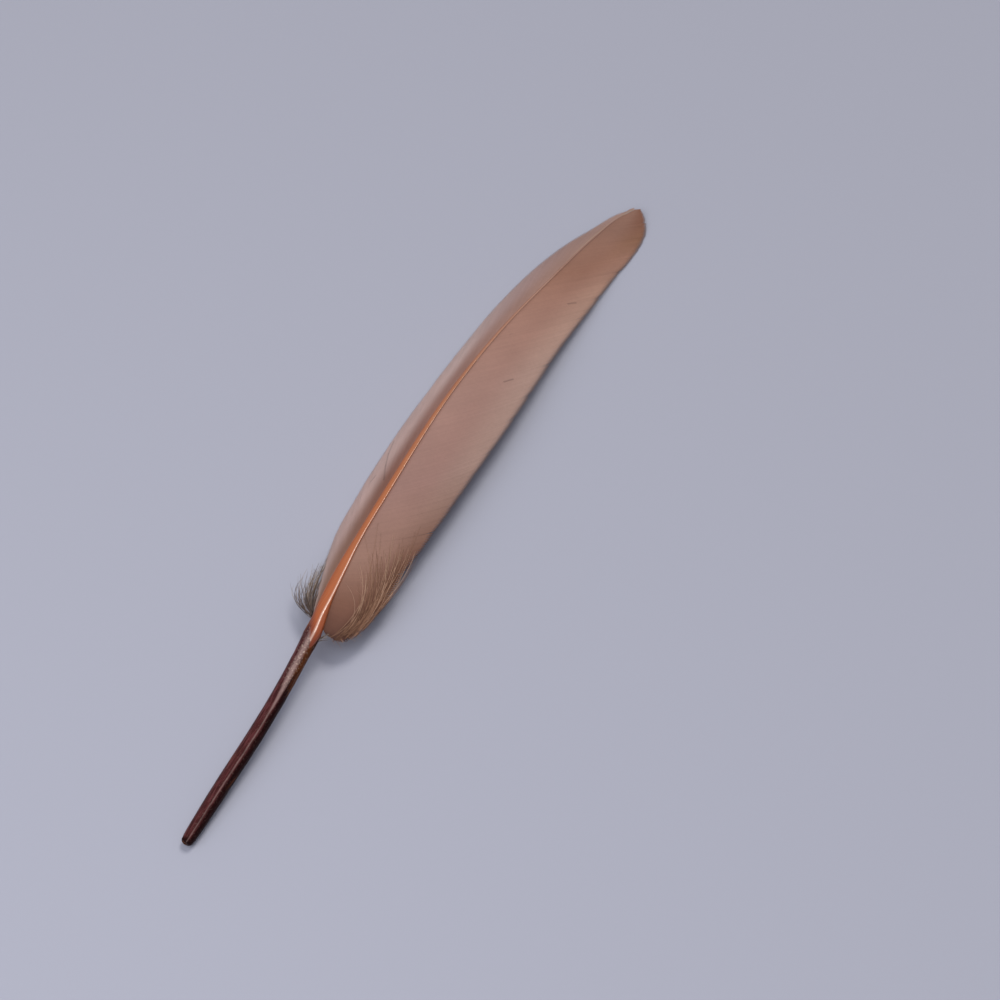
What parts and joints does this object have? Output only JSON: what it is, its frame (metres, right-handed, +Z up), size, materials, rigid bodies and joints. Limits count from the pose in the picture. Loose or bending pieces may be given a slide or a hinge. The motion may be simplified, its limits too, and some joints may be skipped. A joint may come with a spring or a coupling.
{
  "type": "duck feather",
  "caption": "Dyed duck wing feather with a bare dark quill, a tan shaft, a wide trailing vane and a narrow leading vane, lying with its upper side up.",
  "frame": {"origin": "under the middle of the feather's box, on the surface that it lies on", "axes": "+Y from the blunt quill end to the tip, +X towards the wide trailing vane, +Z up out of the upper side"},
  "size_m": [0.0164, 0.1382, 0.0067],
  "materials": {
    "vane": "matte",
    "quill": "satin",
    "down": "matte"
  },
  "bodies": {
    "root": {"feather": "vane"}
  },
  "joints": []
}
